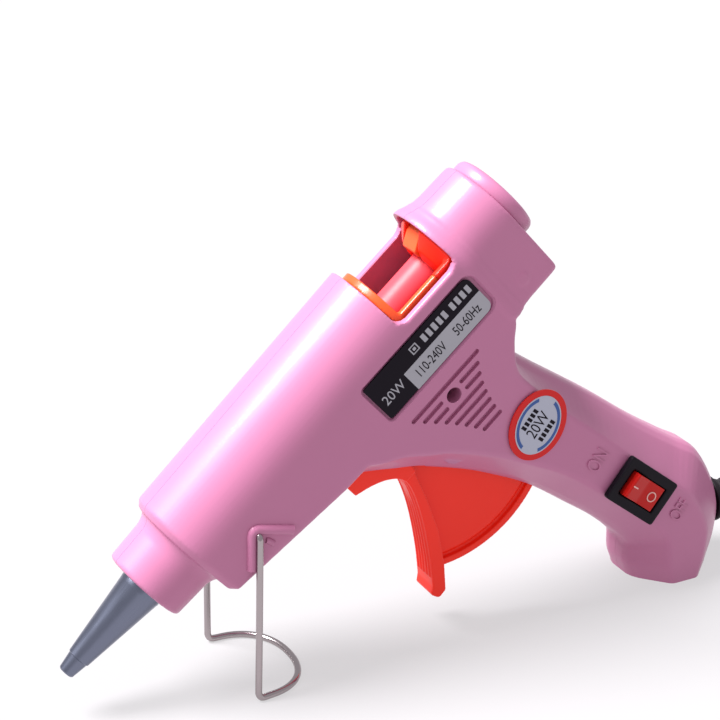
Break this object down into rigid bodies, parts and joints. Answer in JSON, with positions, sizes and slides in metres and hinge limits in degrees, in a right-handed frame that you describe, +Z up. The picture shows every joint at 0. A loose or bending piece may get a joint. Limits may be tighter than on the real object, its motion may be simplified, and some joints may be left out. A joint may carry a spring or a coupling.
{
  "type": "hot glue gun",
  "caption": "Small hot-glue gun on a fold-out wire stand, with pull trigger, sliding stick feed, heater, rocker switch and a folded mains cord with plug.",
  "frame": {"origin": "centre of the bottom of the box round the gun as it stands, the free cord and its plug left out", "axes": "+X from the nozzle towards the handle and cord, +Y away from the side with the switch, +Z up from the surface it stands on"},
  "size_m": [0.3324, 0.0452, 0.1151],
  "materials": {
    "pink_plastic": "satin injection-moulded pink ABS",
    "red_plastic": "glossy red-orange moulded plastic",
    "aluminium": "machined",
    "plated_wire": "bright nickel-plated steel wire",
    "screw_steel": "plated screw",
    "spring_steel": "spring wire",
    "black_plastic": "satin black",
    "rocker_red": "glossy dark red",
    "cord_pvc": "soft black PVC",
    "silicone": "pinkish red silicone",
    "label_foil": "printed foil label, black and silver",
    "badge_film": "printed silver film with a red ring",
    "ceramic": "ceramic heating element",
    "brass": "plain",
    "core_blue": "insulated core",
    "core_brown": "insulated core"
  },
  "bodies": {
    "housing": {"housing_left": "pink_plastic", "housing_right": "pink_plastic", "inlet_ring": "pink_plastic", "nozzle": "aluminium", "melt_tube": "aluminium", "ptc_heater": "ceramic", "silicone_sleeve": "silicone", "sleeve_clip": "spring_steel", "return_spring": "spring_steel", "switch_body": "black_plastic", "switch_tab_in": "brass", "switch_tab_out": "brass", "rating_plate": "label_foil", "oval_badge": "badge_film", "screw_front": "screw_steel", "screw_rear": "screw_steel", "cord_clamp": "black_plastic", "clamp_screw_lower": "screw_steel", "clamp_screw_upper": "screw_steel", "strain_relief": "cord_pvc", "cord_inner": "cord_pvc", "wire_switched": "core_brown", "wire_return": "core_blue", "wire_supply": "core_brown", "cord": "cord_pvc", "cord_hank": "cord_pvc", "plug_body": "black_plastic", "plug_pin_left": "brass", "plug_pin_right": "brass"},
    "stand": {"stand_wire": "plated_wire"},
    "trigger": {"trigger": "red_plastic"},
    "carriage": {"feed_carriage": "red_plastic", "guide_tube": "silicone"},
    "clamp": {"stick_clamp": "red_plastic"},
    "rocker": {"switch_rocker": "rocker_red"}
  },
  "joints": [
    {"name": "stand_fold", "type": "hinge", "parent": "housing", "child": "stand", "pos_m": [-0.05877, 0.00072, 0.04256], "axis": [0, -1, 0], "range_deg": [0, 44]},
    {"name": "trigger_pull", "type": "hinge", "parent": "housing", "child": "trigger", "pos_m": [-0.00649, 0.00072, 0.04922], "axis": [0, -1, 0], "range_deg": [0, 16], "stiffness_Nm_per_rad": 0.3, "springref_deg": -14.32},
    {"name": "carriage_slide", "type": "slide", "parent": "housing", "child": "carriage", "axis": [-0.7498, 0, -0.6617], "range_m": [0, 0.0083], "deforming": ["return_spring"]},
    {"name": "clamp_tilt", "type": "hinge", "parent": "carriage", "child": "clamp", "pos_m": [-0.00869, 0.00072, 0.10264], "axis": [0, -1, 0], "range_deg": [0, 6.2]},
    {"name": "switch_rock", "type": "hinge", "parent": "housing", "child": "rocker", "pos_m": [0.04234, -0.01168, 0.03023], "axis": [-0.6235, 0, -0.7818], "range_deg": [0, 16]}
  ],
  "couplings": [
    {"joint": "carriage_slide", "follows": "trigger_pull", "m_per_rad": 0.0295},
    {"joint": "clamp_tilt", "follows": "trigger_pull", "ratio": 0.375}
  ]
}
